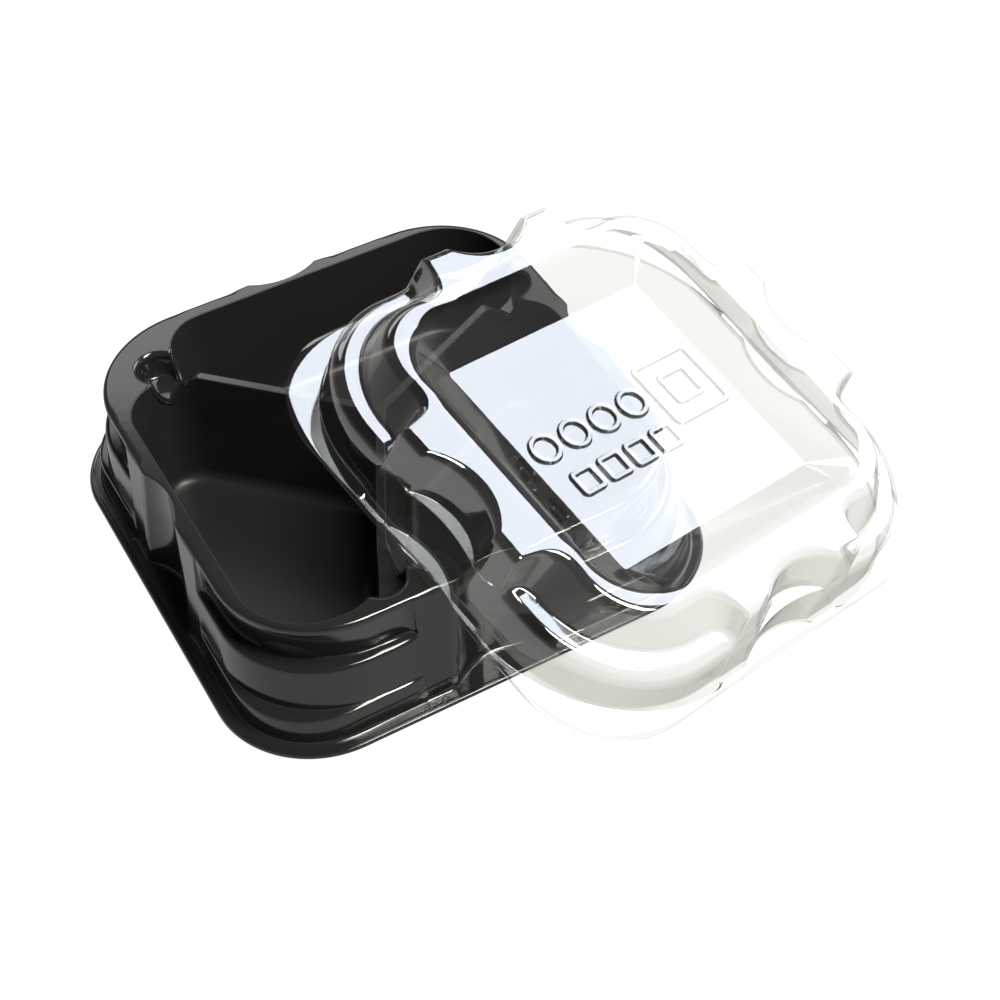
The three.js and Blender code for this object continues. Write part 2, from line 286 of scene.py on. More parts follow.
def side_samples(lv, inset):
    """From a side's middle to the start of its corner's arc: rows of along, out and blend."""
    side, corner = lv["half"] - inset, lv["corner_half"] - inset
    straight_end = corner - max(lv["radius"] - inset, LEAST_RADIUS)
    if lv["scallop"] is None:
        count = SCALLOP_STEPS + FACE_STEPS + BEND_STEPS + STRAIGHT_STEPS
        along = np.linspace(0, 1, count) ** STRAIGHT_SPREAD * straight_end
        return np.stack([along, np.full(count, side), np.ones(count)], 1)
    axis, radius = lv["scallop"][0], lv["scallop"][1] + inset
    mouth = math.sqrt(radius ** 2 - (axis - side) ** 2)
    angle = np.linspace(0, 1, SCALLOP_STEPS, endpoint=False) * math.asin(mouth / radius)
    parts = [np.stack([radius * np.sin(angle), axis - radius * np.cos(angle), 0 * angle], 1)]
    face = np.linspace(mouth, BUMP_END - inset, FACE_STEPS, endpoint=False)
    parts.append(np.stack([face, np.full(FACE_STEPS, side), 0 * face], 1))
    t = np.linspace(0, 1, BEND_STEPS)
    start = BUMP_END - inset
    end = min(BEND_END - inset, max(straight_end, start + SHORTEST_BEND))
    tight = (end - start) / (BEND_END - BUMP_END)
    xs = (start, start + BEND_PULLS[0] * tight, start + BEND_PULLS[1] * tight, end)
    ys = (side, side, corner, corner)
    weights = ((1 - t) ** 3, 3 * t * (1 - t) ** 2, 3 * t * t * (1 - t), t ** 3)
    along = sum(w * x for w, x in zip(weights, xs))
    out = sum(w * y for w, y in zip(weights, ys))
    parts.append(np.stack([along, out, t], 1))
    rest = np.linspace(end, max(straight_end, end + LEAST_STRAIGHT), STRAIGHT_STEPS + 1)[1:]
    parts.append(np.stack([rest, np.full(STRAIGHT_STEPS, corner), np.ones(STRAIGHT_STEPS)], 1))
    return np.vstack(parts)


def outline(lv, inset=0.0):
    """The whole ring at one level, as points, with the same count and order for every level."""
    side = side_samples(lv, inset)
    corner = lv["corner_half"] - inset
    radius = max(lv["radius"] - inset, LEAST_RADIUS)
    if lv["scallop"] is not None:
        radius = min(radius, corner - side[-1, 0])
    angle = np.linspace(math.pi / 2, math.pi / 4, CORNER_STEPS + 1)[1:]
    arc = np.stack([
        corner - radius + radius * np.cos(angle),
        corner - radius + radius * np.sin(angle),
        np.ones(CORNER_STEPS),
    ], 1)
    half = np.vstack([side, arc])
    mirrored = half[-2:0:-1][:, [1, 0, 2]]
    quarter = np.vstack([half, mirrored])
    eased = quarter[:, 2] ** 2 * (3 - 2 * quarter[:, 2])
    z = lv["z"] + (lv["corner_z"] - lv["z"]) * eased
    ring = []
    for k in range(4):
        c, s = math.cos(-k * math.pi / 2), math.sin(-k * math.pi / 2)
        x, y = quarter[:, 0], quarter[:, 1]
        ring.append(np.stack([c * x - s * y, s * x + c * y, z], 1))
    return np.vstack(ring)


def plain(half, radius, z):
    """A plain rounded square ring that matches the walls' rings point for point."""
    return outline(level(z, half, z, half, radius, None))


def rounded(steps, first_share=FILLET_SHARE):
    """Rings through (key ring, radius) steps, each key's edge rounded by one radius or one per point."""
    keys = [np.asarray(key, float) for key, _ in steps]
    radii = [radius for _, radius in steps]
    out = [keys[0]]
    for i in range(1, len(keys) - 1):
        p, a, b = keys[i], keys[i - 1], keys[i + 1]
        la = np.linalg.norm(a - p, axis=1, keepdims=True) + TINY
        lb = np.linalg.norm(b - p, axis=1, keepdims=True) + TINY
        if np.all(np.asarray(radii[i]) <= 0):
            out.append(p)
            continue
        share = first_share if i == 1 else FILLET_SHARE
        back = np.minimum(radii[i], share * la)
        ahead = np.minimum(radii[i], FILLET_SHARE * lb)
        reach = np.minimum(back, ahead)
        start = p + (a - p) / la * reach
        end = p + (b - p) / lb * reach
        for t in np.linspace(0, 1, FILLET_STEPS + 1):
            out.append((1 - t) ** 2 * start + 2 * t * (1 - t) * p + t * t * end)
    out.append(keys[-1])
    return out


def add_rings(bm, rings):
    """Quads between rings with equal counts. Returns each ring's vertices."""
    made = [[bm.verts.new(Vector(p) * MM) for p in ring] for ring in rings]
    for low, high in zip(made, made[1:]):
        n = len(low)
        for i in range(n):
            j = (i + 1) % n
            bm.faces.new((low[i], low[j], high[j], high[i]))
    return made


def add_centre(bm, ring):
    """Closes a flat ring with a fan to its middle."""
    middle = bm.verts.new(sum((v.co for v in ring), Vector()) / len(ring))
    n = len(ring)
    for i in range(n):
        bm.faces.new((ring[i], ring[(i + 1) % n], middle))


# ---- tray -------------------------------------------------------------------------------------------


def tray_wall(z):
    """Half the tray's width between its flat sides at one height."""
    return TRAY_FOOT_HALF - (TRAY_FOOT_HALF - TRAY_RIM_HALF) * z / TRAY_HEIGHT


def tray_level(z, corner_z, corner_half, corner_radius):
    """A level of the tray, whose scallops are the same all the way down."""
    return level(z, tray_wall(z), corner_z, corner_half, corner_radius, TRAY_SCALLOP)


def away_from_scallop(ring):
    """Per point: 0 within the scallops, growing to 1 beyond them."""
    along = np.minimum(np.abs(ring[:, 0]), np.abs(ring[:, 1]))
    share = np.clip((along - SCALLOP_NEAR) / (SCALLOP_FAR - SCALLOP_NEAR), 0, 1)
    return (share * share * (3 - 2 * share))[:, None]


def ledge_edge(height, half, radius):
    """The outer edge of a flat ledge that runs round the tray's corners at one height."""
    return outline(tray_level(height, height, half, radius))


def ledge_foot(height, rise, half, radius):
    """The inner foot of such a ledge, a little over it at the sides and less at the corners."""
    return outline(tray_level(height + rise[0], height + rise[1], half, radius))


def tray_outside_rings():
    """The tray's outer skin from the flat of the rim down to the flange's edge."""
    top, step, ledge = TRAY_HEIGHT, TRAY_STEP_HEIGHT, TRAY_LEDGE_HEIGHT
    flange = TRAY_SHEET
    rim = tray_level(top, top, TRAY_RIM_HALF, TRAY_CORNER)
    edge = outline(rim)
    away = away_from_scallop(edge)
    narrow = outline(rim, RIM_SCALLOP_FILLET + RIM_FLAT_GAP)
    wide = outline(rim, RIM_FILLET + RIM_FLAT_GAP)
    crease = TRAY_CREASE_HALF, TRAY_CREASE_CORNER
    lip = TRAY_FLANGE_HALF - FLANGE_EDGE_WIDTH, TRAY_FLANGE_CORNER - FLANGE_EDGE_WIDTH
    steps = [
        (narrow * (1 - away) + wide * away, 0),
        (edge, RIM_SCALLOP_FILLET + (RIM_FILLET - RIM_SCALLOP_FILLET) * away),
        (ledge_foot(ledge, TRAY_LEDGE_RISE, TRAY_LEDGE_FOOT_HALF, TRAY_LEDGE_FOOT_CORNER),
         TRAY_LEDGE_FOOT_FILLET),
        (ledge_edge(ledge, tray_wall(ledge), TRAY_CORNER), TRAY_LEDGE_FILLET),
        (ledge_foot(step, TRAY_STEP_RISE, tray_wall(step) - TRAY_STEP_SINK, TRAY_CORNER),
         TRAY_STEP_FOOT_FILLET),
        (ledge_edge(step, TRAY_STEP_HALF, TRAY_STEP_CORNER), TRAY_STEP_FILLET),
        (ledge_edge(flange, TRAY_STEP_HALF + TRAY_FOOT_FLARE, TRAY_STEP_CORNER), TRAY_FOOT_FILLET),
        (plain(*crease, flange), CREASE_FILLET),
        (plain(crease[0] + CREASE_WIDTH, crease[1] + CREASE_WIDTH, flange + FLANGE_LIP), CREASE_FILLET),
        (plain(*lip, flange + FLANGE_LIP), FLANGE_EDGE_FILLET),
        (plain(TRAY_FLANGE_HALF, TRAY_FLANGE_CORNER, flange - FLANGE_EDGE_DROP), 0),
    ]
    return rounded(steps, FIRST_FILLET_SHARE)


def arm_direction(index):
    """A divider arm's direction from the tray's middle, as (x, y)."""
    a = math.radians(ARM_ANGLES[index])
    return np.array([math.cos(a), math.sin(a)])


def arm_crossing(index, sign, axis, at):
    """Where one side of a divider arm crosses the line x = at (axis 0) or y = at (axis 1)."""
    d = arm_direction(index)
    base = np.array([-d[1], d[0]]) * sign * DIVIDER_HALF
    return base + d * (at - base[axis]) / d[axis]


def junction(i, j):
    """Where two neighbouring arms' facing sides meet near the tray's middle."""
    a, b = arm_direction(i), arm_direction(j)
    pa = np.array([-a[1], a[0]]) * DIVIDER_HALF
    pb = np.array([b[1], -b[0]]) * DIVIDER_HALF
    t = np.linalg.solve(np.stack([a, -b], 1), pb - pa)[0]
    return pa + a * t


def well_corners():
    """Three lists of (x, y, radius), anticlockwise: the left, back and front right wells."""
    h = WELL_HALF
    left = [(junction(0, 1), WELL_JUNCTION_CORNER), (arm_crossing(0, 1, 0, -h), WELL_ARM_CORNER),
            (np.array([-h, -h]), WELL_CORNER), (arm_crossing(1, -1, 1, -h), WELL_ARM_CORNER)]
    back = [(junction(2, 0), WELL_JUNCTION_CORNER), (arm_crossing(2, 1, 0, h), WELL_ARM_CORNER),
            (np.array([h, h]), WELL_CORNER), (arm_crossing(0, -1, 1, h), WELL_ARM_CORNER)]
    front = [(junction(1, 2), WELL_JUNCTION_CORNER), (arm_crossing(1, 1, 1, -h), WELL_ARM_CORNER),
             (np.array([h, -h]), WELL_CORNER), (arm_crossing(2, -1, 0, h), WELL_ARM_CORNER)]
    return [left, back, front]


def well_ring(corners, inset, z):
    """A well's outline moved inward by inset, with its corners rounded and its edges finely cut."""
    points = [c[0] for c in corners]
    n = len(points)
    along = [points[(i + 1) % n] - points[i] for i in range(n)]
    along = [a / np.linalg.norm(a) for a in along]
    inward = [np.array([-a[1], a[0]]) for a in along]
    lines = [points[i] + inward[i] * inset for i in range(n)]
    arcs = []
    for i in range(n):
        b = (i - 1) % n
        t = np.linalg.solve(np.stack([along[b], -along[i]], 1), lines[i] - lines[b])[0]
        corner = lines[b] + along[b] * t
        radius = max(corners[i][1] - inset, WELL_LEAST_RADIUS)
        cross = along[b][0] * along[i][1] - along[b][1] * along[i][0]
        turn = math.atan2(cross, float(along[b] @ along[i]))
        centre = corner - along[b] * radius * math.tan(turn / 2) + inward[b] * radius
        start = math.atan2(-inward[b][1], -inward[b][0])
        angles = start + np.linspace(0, turn, WELL_ARC_STEPS + 1)
        arcs.append(centre + radius * np.stack([np.cos(angles), np.sin(angles)], 1))
    ring = []
    for i in range(n):
        ring.append(arcs[i])
        share = np.linspace(0, 1, WELL_EDGE_STEPS + 1)[1:-1, None]
        ring.append(arcs[i][-1] + (arcs[(i + 1) % n][0] - arcs[i][-1]) * share)
    flat = np.vstack(ring)
    return np.column_stack([flat, np.full(len(flat), z)])


def notch_drop(xy):
    """How far the rim and divider dip at each point, from the scoops at the arms' outer ends."""
    drop = np.zeros(len(xy))
    for i, (start, end) in enumerate(zip(NOTCH_STARTS, NOTCH_ENDS)):
        d = arm_direction(i)
        u = xy @ d
        v = xy @ np.array([-d[1], d[0]])
        w = NOTCH_HALF_WIDTH
        round_end = w - np.hypot(np.maximum(u - (end - w), 0), v)
        inside = np.clip(round_end / NOTCH_EDGE, 0, 1)
        ramp = np.clip((u - start) / NOTCH_RAMP, 0, 1)
        shape = inside * inside * (3 - 2 * inside) * ramp * ramp * (3 - 2 * ramp)
        drop = np.maximum(drop, NOTCH_DEPTH * shape)
    return drop


def dipped(ring):
    """A ring with the scoops' dip applied, fading out below the rim."""
    ring = np.array(ring, float)
    share = np.clip((ring[:, 2] - (TRAY_HEIGHT - NOTCH_REACH)) / NOTCH_REACH, 0, 1)
    ring[:, 2] -= notch_drop(ring[:, :2]) * share
    return ring


def well_rings(corners):
    """One well's skin from the flat of the rim down to its floor."""
    top, wall = TRAY_HEIGHT, WELL_WALL_INSET
    fall = WELL_FLOOR - top
    deep = -WELL_DRAFT * fall
    steps = [
        (well_ring(corners, wall - WELL_FILLET - WELL_RIM_GAP, top), 0),
        (well_ring(corners, wall, top), WELL_FILLET),
    ]
    steps += [(well_ring(corners, wall + deep * s, top + fall * s), 0) for s in WELL_MID_SHARES]
    steps += [
        (well_ring(corners, wall + deep, WELL_FLOOR), WELL_FLOOR_FILLET),
        (well_ring(corners, wall + deep + 2 * WELL_FLOOR_FILLET, WELL_FLOOR), 0),
    ]
    return [dipped(ring) for ring in rounded(steps, FIRST_FILLET_SHARE)]


def inside_ring(points, ring):
    """Which points lie inside a closed ring, by counting crossings."""
    hit = np.zeros(len(points), bool)
    a, b = ring, np.roll(ring, -1, axis=0)
    for (x0, y0), (x1, y1) in zip(a, b):
        if y0 == y1:
            continue
        spans = (points[:, 1] < y0) != (points[:, 1] < y1)
        at = x0 + (points[:, 1] - y0) * (x1 - x0) / (y1 - y0)
        hit ^= spans & (points[:, 0] < at)
    return hit


def ring_distance(points, ring):
    """Distance from each point to the nearest of a ring's own points."""
    gaps = points[:, None, :] - ring[None, :, :]
    return np.sqrt((gaps ** 2).sum(2).min(1))


def notch_grid():
    """Extra points over the scoops, so that the dip's edges are finely cut."""
    points = []
    for i, (start, end) in enumerate(zip(NOTCH_STARTS, NOTCH_ENDS)):
        d = arm_direction(i)
        across = np.array([-d[1], d[0]])
        centre = end - NOTCH_HALF_WIDTH
        for inset in NOTCH_INSETS:
            r = NOTCH_HALF_WIDTH - inset
            count = max(int(r * NOTCH_ARC_STEPS_PER_MM), NOTCH_ARC_LEAST)
            for a in np.linspace(-math.pi / 2, math.pi / 2, count):
                points.append(d * (centre + r * math.cos(a)) + across * r * math.sin(a))
            for u in np.arange(start, centre, NOTCH_SPACING):
                points.append(d * u + across * r)
                points.append(d * u - across * r)
        for u in np.arange(start - NOTCH_LEAD, centre, NOTCH_SPACING):
            points.append(d * u)
    return np.array(points)


def closed_edges(first, count):
    """Pairs of point numbers round a closed loop of `count` points that starts at `first`."""
    return [(first + i, first + (i + 1) % count) for i in range(count)]


def tray_top(bm, rim, wells):
    """The flat of the rim and the divider, between the outer ring and the three wells."""
    loops = [rim[:, :2]] + [w[:, :2] for w in wells]
    extra = notch_grid()
    keep = inside_ring(extra, loops[0]) & (ring_distance(extra, loops[0]) > NOTCH_CLEAR)
    for w in loops[1:]:
        keep &= ~inside_ring(extra, w) & (ring_distance(extra, w) > NOTCH_CLEAR)
    extra = extra[keep]
    verts, edges = [], []
    for loop in loops:
        edges += closed_edges(len(verts), len(loop))
        verts += [Vector(p) for p in loop]
    verts += [Vector(p) for p in extra]
    points, _, faces, _, _, _ = delaunay_2d_cdt(verts, edges, [], 0, CUT_TOLERANCE)
    flat = np.array([tuple(p) for p in points])
    middles = np.array([flat[list(f)].mean(0) for f in faces])
    good = inside_ring(middles, loops[0])
    for w in loops[1:]:
        good &= ~inside_ring(middles, w)
    z = TRAY_HEIGHT - notch_drop(flat)
    made = [bm.verts.new(Vector((x, y, h)) * MM) for (x, y), h in zip(flat, z)]
    for f, ok in zip(faces, good):
        if ok:
            bm.faces.new([made[i] for i in f])


def finish_mesh(bm, name, sheet):
    """Joins touching edges, thickens the skin inward into a closed sheet and shades it smooth."""
    bmesh.ops.remove_doubles(bm, verts=bm.verts, dist=JOIN_DISTANCE * MM)
    loose = [v for v in bm.verts if not v.link_faces]
    bmesh.ops.delete(bm, geom=loose, context="VERTS")
    bmesh.ops.recalc_face_normals(bm, faces=bm.faces)
    largest = max(bm.faces, key=lambda f: abs(f.normal.z) * f.calc_area())
    if largest.normal.z < 0:
        bmesh.ops.reverse_faces(bm, faces=bm.faces)
    for f in bm.faces:
        f.smooth = True
    mesh = bpy.data.meshes.new(name)
    bm.to_mesh(mesh)
    bm.free()
    obj = bpy.data.objects.new(name, mesh)
    bpy.context.scene.collection.objects.link(obj)
    solid = obj.modifiers.new("sheet", "SOLIDIFY")
    solid.thickness = sheet * MM
    solid.offset = -1.0
    solid.use_even_offset = False
    solid.thickness_clamp = 0.0
    weighted = obj.modifiers.new("weighted", "WEIGHTED_NORMAL")
    weighted.keep_sharp = True
    weighted.weight = 50
    return obj


def make_tray(place):
    """The black tray. Its wells are its second material, a copy that mirrors less as painted shade."""
    bm = bmesh.new()
    outside = [dipped(r) for r in tray_outside_rings()]
    add_rings(bm, outside)
    wells = [well_rings(c) for c in well_corners()]
    wall_faces = len(bm.faces)
    for rings in wells:
        add_rings(bm, rings)
        centre = rings[-1].mean(0)
        floor = add_rings(bm, [centre + (rings[-1] - centre) * s for s in WELL_FLOOR_SHARES])
        add_centre(bm, floor[-1])
    for face in list(bm.faces)[wall_faces:]:
        face.material_index = 1
    tray_top(bm, outside[0], [rings[0] for rings in wells])
    tray = finish_mesh(bm, "tray_sheet", TRAY_SHEET)
    tray.data.transform(place)
    return tray


# ---- lid --------------------------------------------------------------------------------------------


def lid_wall(z):
    """Half the lid's width between its flat sides at one height."""
    return LID_FOOT_HALF - (LID_FOOT_HALF - LID_TOP_HALF) * z / LID_HEIGHT


def scooped(z, half, reach, mouth, corner_z, corner_half, corner_radius):
    """A level whose scallops come in to `reach` and open `mouth` to each side of their middle."""
    depth = half - reach
    radius = (depth ** 2 + mouth ** 2) / (2 * depth)
    return level(z, half, corner_z, corner_half, corner_radius, (reach + radius, radius))


def lid_rings():
    """The lid's upper skin from its middle panel out to the flange's edge."""
    top, flange = LID_HEIGHT, LID_SHEET
    floor = top - RECESS_DEPTH
    rim = outline(scooped(top, LID_TOP_HALF, *LID_TOP_SCALLOP, top, LID_TOP_CORNER_HALF, LID_TOP_CORNER))
    away = away_from_scallop(rim)
    foot = outline(scooped(flange, LID_FOOT_HALF + LID_FOOT_FLARE, *LID_FOOT_SCALLOP, flange,
                           LID_FOOT_CORNER_HALF, LID_FOOT_CORNER))
    edge = plain(LID_FLANGE_HALF, LID_FLANGE_CORNER, flange)
    steps = [
        (plain(PANEL_HALF * PANEL_FLAT_SHARE, PANEL_CORNER, floor), 0),
        (plain(PANEL_HALF, PANEL_CORNER, floor), PANEL_FILLET),
        (plain(RECESS_HALF, RECESS_CORNER, top), RECESS_FILLET),
        (rim, LID_TOP_FILLET),
    ]
    for z, reach, mouth, corner_z, corner_half, corner_radius, fillet, more in LID_LEVELS:
        wall = scooped(z, lid_wall(z), reach, mouth, corner_z, corner_half, corner_radius)
        steps.append((outline(wall), fillet + more * away))
    steps += [(foot, LID_FOOT_FILLET), ((foot + edge) / 2, 0), (edge, 0)]
    return rounded(steps)


def emblem_shapes():
    """Each raised outline as (x, y, half size, corner radius)."""
    shapes = []
    y, places, radius = RING_ROW
    shapes += [(x, y, radius, radius) for x in places]
    y, places, half = SQUARE_ROW
    shapes += [(x, y, half, SQUARE_CORNER) for x in places]
    x, y, outer, inner = FRAME_SQUARE
    shapes += [(x, y, outer, FRAME_CORNERS[0]), (x, y, inner, FRAME_CORNERS[1])]
    return shapes


def small_loop(x, y, half, radius):
    """A rounded square, or a circle when the radius equals the half size."""
    points = []
    for k in range(4):
        a = np.linspace(k, k + 1, LOOP_STEPS) * math.pi / 2
        c = (half - radius) * np.array([(1, -1, -1, 1)[k], (1, 1, -1, -1)[k]])
        points.append(np.stack([x + c[0] + radius * np.cos(a), y + c[1] + radius * np.sin(a)], 1))
    loop = np.vstack(points)
    keep = np.linalg.norm(loop - np.roll(loop, 1, axis=0), axis=1) > LOOP_LEAST_GAP
    return loop[keep]


def add_panel(bm, rim):
    """The lid's flat panel with its raised outlines, joined to the ring around it."""
    floor = float(rim[0, 2])
    loops = [(rim[:, :2], floor)]
    crest = EMBLEM_LINE / 2
    foot = crest + EMBLEM_SLOPE
    profile = ((foot, 0), (crest, EMBLEM_HEIGHT), (-crest, EMBLEM_HEIGHT), (-foot, 0))
    for x, y, half, radius in emblem_shapes():
        for grow, lift in profile:
            ring = small_loop(x, y, half + grow, max(radius + grow, LOOP_LEAST_RADIUS))
            loops.append((ring, floor + lift))
    verts, heights, edges = [], [], []
    for ring, z in loops:
        edges += closed_edges(len(verts), len(ring))
        verts += [Vector(p) for p in ring]
        heights += [z] * len(ring)
    points, _, faces, sources, _, _ = delaunay_2d_cdt(verts, edges, [], 1, CUT_TOLERANCE)
    made = [bm.verts.new(Vector((p.x, p.y, heights[src[0]])) * MM) for p, src in zip(points, sources)]
    panel = [bm.faces.new([made[i] for i in f]) for f in faces]
    bm.normal_update()
    for edge in {e for face in panel for e in face.edges}:
        if len(edge.link_faces) == 2 and edge.calc_face_angle() > SHARP_ANGLE:
            edge.smooth = False


def make_lid(place):
    """The clear lid, in its leaning place."""
    bm = bmesh.new()
    rings = lid_rings()
    add_rings(bm, rings)
    add_panel(bm, rings[0])
    lid = finish_mesh(bm, "lid_sheet", LID_SHEET)
    lid.data.transform(place)
    return lid


# ---- materials --------------------------------------------------------------------------------------


def new_material(name):
    """An empty node material: the material, its nodes, its links and its output node."""
    material = bpy.data.materials.new(name)
    material.use_nodes = True
    nodes = material.node_tree.nodes
    nodes.clear()
    out = nodes.new("ShaderNodeOutputMaterial")
    return material, nodes, material.node_tree.links, out


def black_sheet(name, finish):
    """Black polystyrene sheet with a faint orange-peel and a little uneven polish."""
    shine, smoothest, roughest = finish
    material, nodes, links, out = new_material(name)
    base = nodes.new("ShaderNodeBsdfPrincipled")
    base.inputs["Base Color"].default_value = BLACK
    base.inputs["IOR"].default_value = BLACK_IOR
    base.inputs["Specular IOR Level"].default_value = shine
    where = nodes.new("ShaderNodeTexCoord")
    cloudy = nodes.new("ShaderNodeTexNoise")
    cloudy.inputs["Scale"].default_value, cloudy.inputs["Detail"].default_value = BLACK_POLISH
    polish = nodes.new("ShaderNodeMapRange")
    polish.inputs["To Min"].default_value = smoothest
    polish.inputs["To Max"].default_value = roughest
    peel = nodes.new("ShaderNodeTexNoise")
    bump = nodes.new("ShaderNodeBump")
    scale, strength, depth = BLACK_PEEL
    peel.inputs["Scale"].default_value = scale
    bump.inputs["Strength"].default_value = strength
    bump.inputs["Distance"].default_value = depth
    links.new(where.outputs["Object"], cloudy.inputs["Vector"])
    links.new(where.outputs["Object"], peel.inputs["Vector"])
    links.new(cloudy.outputs["Fac"], polish.inputs["Value"])
    links.new(polish.outputs["Result"], base.inputs["Roughness"])
    links.new(peel.outputs["Fac"], bump.inputs["Height"])
    links.new(bump.outputs["Normal"], base.inputs["Normal"])
    links.new(base.outputs["BSDF"], out.inputs["Surface"])
    return material


def math_node(nodes, links, operation, first, second):
    """A math node fed by sockets or by plain numbers."""
    node = nodes.new("ShaderNodeMath")
    node.operation = operation
    for socket, value in zip(node.inputs, (first, second)):
        if isinstance(value, (int, float)):
            socket.default_value = value
        else:
            links.new(value, socket)
    return node.outputs["Value"]


def clear_sheet(name, mirror_share, body_pass, up):
    """Clear thin sheet: a mirror-like share that grows at grazing angles, and a faint grey body, tinted
    darker on steep walls as painted shade.

    Only faces seen from their front mirror and tint, so each pass through the sheet counts once.
    """
    material, nodes, links, out = new_material(name)
    where = nodes.new("ShaderNodeTexCoord")
    uneven = nodes.new("ShaderNodeTexNoise")
    bump = nodes.new("ShaderNodeBump")
    scale, detail, strength, depth = CLEAR_WAVE
    uneven.inputs["Scale"].default_value = scale
    uneven.inputs["Detail"].default_value = detail
    bump.inputs["Strength"].default_value = strength
    bump.inputs["Distance"].default_value = depth
    polish = nodes.new("ShaderNodeMapRange")
    polish.inputs["To Min"].default_value = CLEAR_ROUGHNESS[0]
    polish.inputs["To Max"].default_value = CLEAR_ROUGHNESS[1]
    links.new(where.outputs["Object"], uneven.inputs["Vector"])
    links.new(uneven.outputs["Fac"], bump.inputs["Height"])
    links.new(uneven.outputs["Fac"], polish.inputs["Value"])
    weight = nodes.new("ShaderNodeLayerWeight")
    weight.inputs["Blend"].default_value = 0.5
    links.new(bump.outputs["Normal"], weight.inputs["Normal"])
    facing = weight.outputs["Facing"]
    geometry = nodes.new("ShaderNodeNewGeometry")
    front = math_node(nodes, links, "SUBTRACT", 1.0, geometry.outputs["Backfacing"])
    lean = nodes.new("ShaderNodeVectorMath")
    lean.operation = "DOT_PRODUCT"
    lean.inputs[1].default_value = up
    links.new(geometry.outputs["Normal"], lean.inputs[0])
    level_share = math_node(nodes, links, "ABSOLUTE", lean.outputs["Value"], 0.0)
    steep = math_node(nodes, links, "SUBTRACT", 1.0, level_share)
    edge = math_node(nodes, links, "POWER", facing, CLEAR_EDGE_POWER)
    grown = math_node(nodes, links, "MULTIPLY", edge, 1.0 - mirror_share)
    steep_mirror = math_node(nodes, links, "MULTIPLY", steep, STEEP_MIRROR)
    least = math_node(nodes, links, "ADD", steep_mirror, mirror_share)
    mirror = math_node(nodes, links, "ADD", grown, least)
    share = math_node(nodes, links, "MULTIPLY", mirror, front)
    cosine = math_node(nodes, links, "SUBTRACT", 1.0, facing)
    safe = math_node(nodes, links, "MAXIMUM", cosine, LEAST_COSINE)
    slant = math_node(nodes, links, "POWER", safe, SLANT_TINT)
    # Steep walls get extra tint: painted shade, the lid's shadow on the table seen through them
    steep_painted_shade = math_node(nodes, links, "MULTIPLY", steep, STEEP_PAINTED_SHADE)
    painted_shade_gain = math_node(nodes, links, "ADD", steep_painted_shade, 1.0)
    seen = math_node(nodes, links, "MULTIPLY", painted_shade_gain, front)
    path = math_node(nodes, links, "DIVIDE", seen, slant)
    tint = nodes.new("ShaderNodeCombineColor")
    for channel, body in zip(("Red", "Green", "Blue"), body_pass):
        links.new(math_node(nodes, links, "POWER", body, path), tint.inputs[channel])
    through = nodes.new("ShaderNodeBsdfTransparent")
    links.new(tint.outputs["Color"], through.inputs["Color"])
    gloss = nodes.new("ShaderNodeBsdfGlossy")
    links.new(polish.outputs["Result"], gloss.inputs["Roughness"])
    links.new(bump.outputs["Normal"], gloss.inputs["Normal"])
    mix = nodes.new("ShaderNodeMixShader")
    links.new(share, mix.inputs["Fac"])
    links.new(through.outputs["BSDF"], mix.inputs[1])
    links.new(gloss.outputs["BSDF"], mix.inputs[2])
    links.new(mix.outputs["Shader"], out.inputs["Surface"])
    return material


def floor_material():
    """A white table top, lit mostly by itself so that it stays even."""
    material, nodes, links, out = new_material("floor_white")
    base = nodes.new("ShaderNodeBsdfPrincipled")
    base.inputs["Base Color"].default_value = FLOOR_BASE
    base.inputs["Roughness"].default_value = 1.0
    base.inputs["Specular IOR Level"].default_value = 0.0
    base.inputs["Emission Color"].default_value = (1, 1, 1, 1)
    path = nodes.new("ShaderNodeLightPath")
    glow = nodes.new("ShaderNodeMapRange")
    glow.inputs["To Min"].default_value = FLOOR_MIRRORED
    glow.inputs["To Max"].default_value = FLOOR_SEEN
    links.new(path.outputs["Is Camera Ray"], glow.inputs["Value"])
    links.new(glow.outputs["Result"], base.inputs["Emission Strength"])
    links.new(base.outputs["BSDF"], out.inputs["Surface"])
    return material


# ---- stage ------------------------------------------------------------------------------------------


def make_floor(z):
    """The table top, as part of the stage."""
    bm = bmesh.new()
    bmesh.ops.create_grid(bm, x_segments=1, y_segments=1, size=FLOOR_SIZE)
    mesh = bpy.data.meshes.new("floor")
    bm.to_mesh(mesh)
    bm.free()
    floor = bpy.data.objects.new("floor", mesh)
    floor.location = (0, 0, z)
    mesh.materials.append(floor_material())
    bpy.context.scene.collection.objects.link(floor)


def softbox(target, name, direction, distance, width, height, power, colour):
    """A rectangular light at a distance along a direction from the target, facing it."""
    data = bpy.data.lights.new(name, "AREA")
    data.shape = "RECTANGLE"
    data.size = width
    data.size_y = height
    data.energy = power
    data.color = colour
    lamp = bpy.data.objects.new(name, data)
    back = Vector(direction).normalized()
    lamp.location = target + back * distance
    lamp.rotation_mode = "QUATERNION"
    lamp.rotation_quaternion = (-back).to_track_quat("-Z", "Y")
    bpy.context.scene.collection.objects.link(lamp)


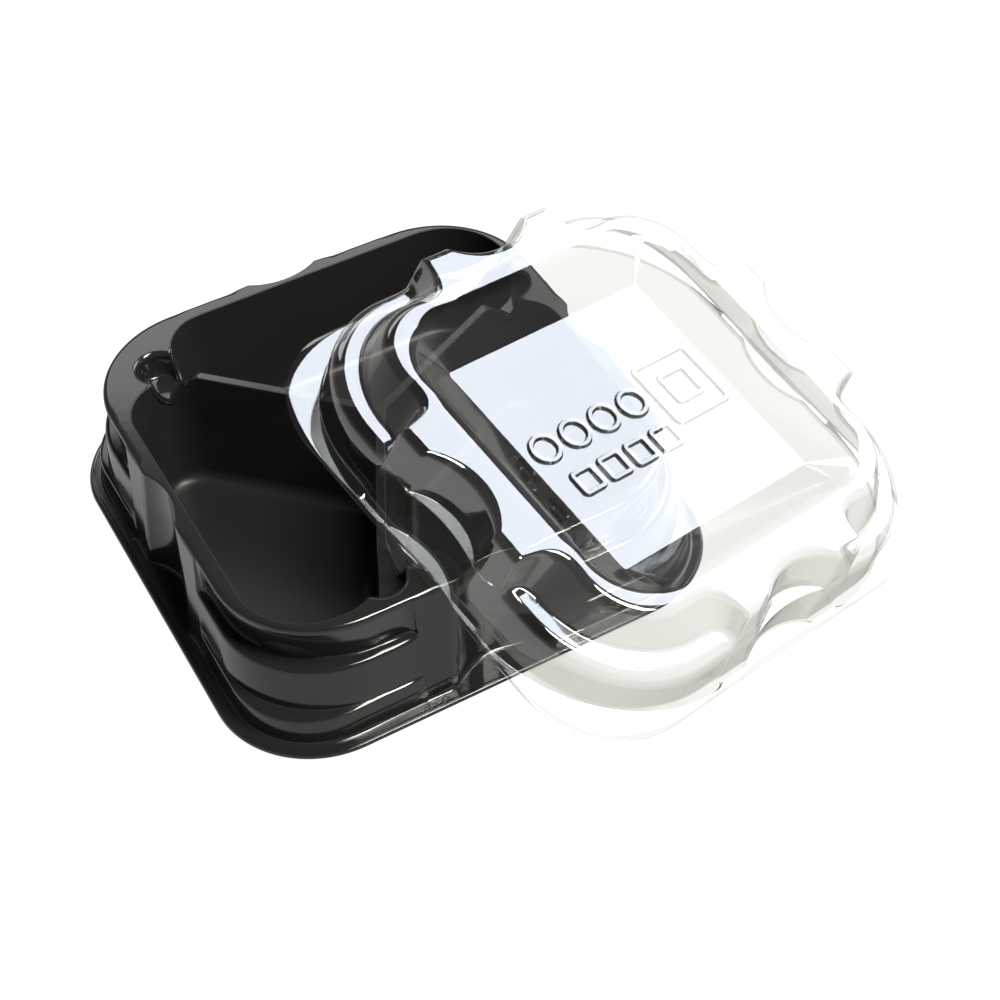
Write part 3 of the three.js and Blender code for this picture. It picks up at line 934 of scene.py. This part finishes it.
def make_world():
    """White to the camera; to the object, a soft room that is brighter near the horizon."""
    world = bpy.data.worlds.new("studio")
    world.use_nodes = True
    nodes, links = world.node_tree.nodes, world.node_tree.links
    background = nodes["Background"]
    place = nodes.new("ShaderNodeTexCoord")
    parts = nodes.new("ShaderNodeSeparateXYZ")
    links.new(place.outputs["Generated"], parts.inputs["Vector"])
    height = nodes.new("ShaderNodeMapRange")
    height.inputs["From Min"].default_value = 0.0
    height.inputs["From Max"].default_value = ROOM_ZENITH_HEIGHT
    height.inputs["To Min"].default_value = ROOM_HORIZON
    height.inputs["To Max"].default_value = ROOM_ZENITH
    links.new(parts.outputs["Z"], height.inputs["Value"])
    path = nodes.new("ShaderNodeLightPath")
    seen = math_node(nodes, links, "MAXIMUM", path.outputs["Is Camera Ray"], height.outputs["Result"])
    links.new(seen, background.inputs["Strength"])
    background.inputs["Color"].default_value = (1, 1, 1, 1)
    bpy.context.scene.world = world


def make_camera(middle):
    """The camera that sees the tray and lid as the photo does."""
    data = bpy.data.cameras.new("camera")
    data.sensor_width = CAMERA_SENSOR
    data.lens = CAMERA_FOCAL
    data.shift_x, data.shift_y = CAMERA_SHIFT
    data.clip_start, data.clip_end = CAMERA_CLIP
    camera = bpy.data.objects.new("camera", data)
    camera.location = middle + Vector(CAMERA_PLACE) * MM
    camera.rotation_mode = "QUATERNION"
    camera.rotation_quaternion = Vector(CAMERA_AIM).to_track_quat("-Z", "Y")
    bpy.context.scene.collection.objects.link(camera)
    bpy.context.scene.camera = camera


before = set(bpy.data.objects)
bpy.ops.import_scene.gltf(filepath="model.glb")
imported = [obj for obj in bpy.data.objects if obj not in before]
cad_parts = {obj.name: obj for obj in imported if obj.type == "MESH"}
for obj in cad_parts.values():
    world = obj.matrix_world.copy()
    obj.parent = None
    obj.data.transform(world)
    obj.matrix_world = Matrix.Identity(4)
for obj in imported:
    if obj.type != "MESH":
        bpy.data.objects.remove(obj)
cad_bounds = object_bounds()
tray_low, tray_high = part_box("tray")
tray_middle = Vector(((tray_low.x + tray_high.x) / 2, (tray_low.y + tray_high.y) / 2, tray_low.z))

tray_place = Matrix.Translation(tray_middle)
turn = Vector(LID_TURN) * math.pi / 180
lid_turn = Matrix.Rotation(turn.length, 4, turn.normalized())
lid_place = Matrix.Translation(tray_middle + Vector(LID_POSITION) * MM) @ lid_turn

tray = make_tray(tray_place)
tray.data.materials.append(black_sheet("black_glossy", GLOSSY_FINISH))
# The wells' copy mirrors less than the rest: painted shade in the recesses
tray.data.materials.append(black_sheet("black_wells_painted_shade", WELL_SHADED_FINISH))
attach(tray, "tray")
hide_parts("tray")

lid = make_lid(lid_place)
lid_up = lid_turn @ Vector((0, 0, 1))
lid.data.materials.append(clear_sheet("clear_outside", CLEAR_MIRROR, CLEAR_BODY, lid_up))
lid.data.materials.append(clear_sheet("clear_inside", CLEAR_MIRROR_INSIDE, CLEAR_BODY_INSIDE, lid_up))
lid.modifiers["sheet"].material_offset = 1
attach(lid, "lid")
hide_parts("lid")

make_floor(cad_bounds[0].z - FLOOR_GAP * MM)
make_world()
target = (cad_bounds[0] + cad_bounds[1]) / 2
for light in SOFT_LIGHTS:
    softbox(target, *light)
make_camera(tray_middle)

scene = bpy.context.scene
scene.view_settings.view_transform = "Standard"
scene.cycles.transparent_max_bounces = CLEAR_BOUNCES
scene.cycles.max_bounces = ALL_BOUNCES
scene.cycles.transmission_bounces = ALL_BOUNCES
